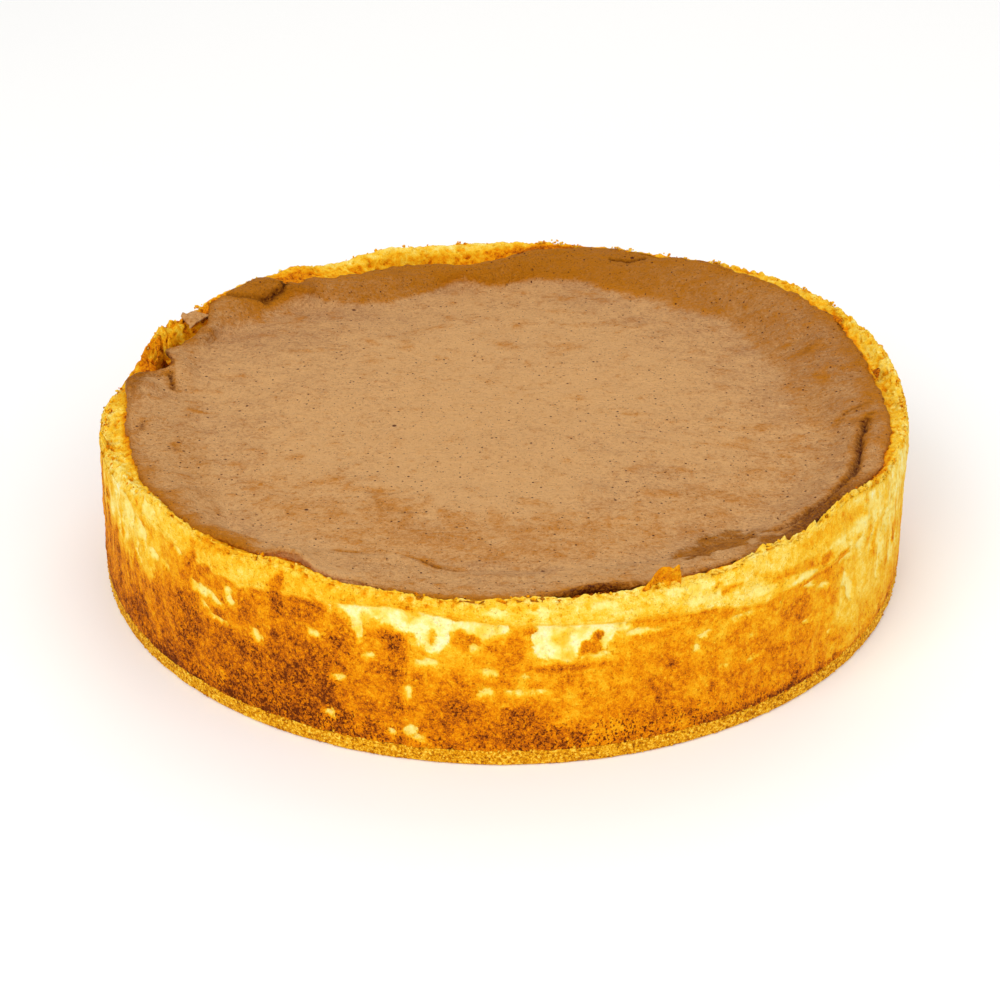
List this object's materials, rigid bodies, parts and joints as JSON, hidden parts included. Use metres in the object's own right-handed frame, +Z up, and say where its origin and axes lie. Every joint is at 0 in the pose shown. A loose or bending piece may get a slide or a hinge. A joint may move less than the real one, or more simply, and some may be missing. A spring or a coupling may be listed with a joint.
{
  "type": "baked cheesecake",
  "caption": "Whole round baked cheesecake with a sunken browned top, a torn uneven rim, mottled golden sides and a thin biscuit base.",
  "frame": {"origin": "middle of the underside of the biscuit base, on the surface the cake stands on", "axes": "+Z up through the middle of the cake; -Y towards the side with the browned, mottled wall; the torn ledge is at +X"},
  "size_m": [0.26, 0.26, 0.0565],
  "materials": {
    "browned_cheese": "matt baked skin, brown on top, golden and brown at the side",
    "biscuit": "matt crumb"
  },
  "bodies": {
    "root": {"cheese_filling": "browned_cheese", "biscuit_base": "biscuit"}
  },
  "joints": []
}
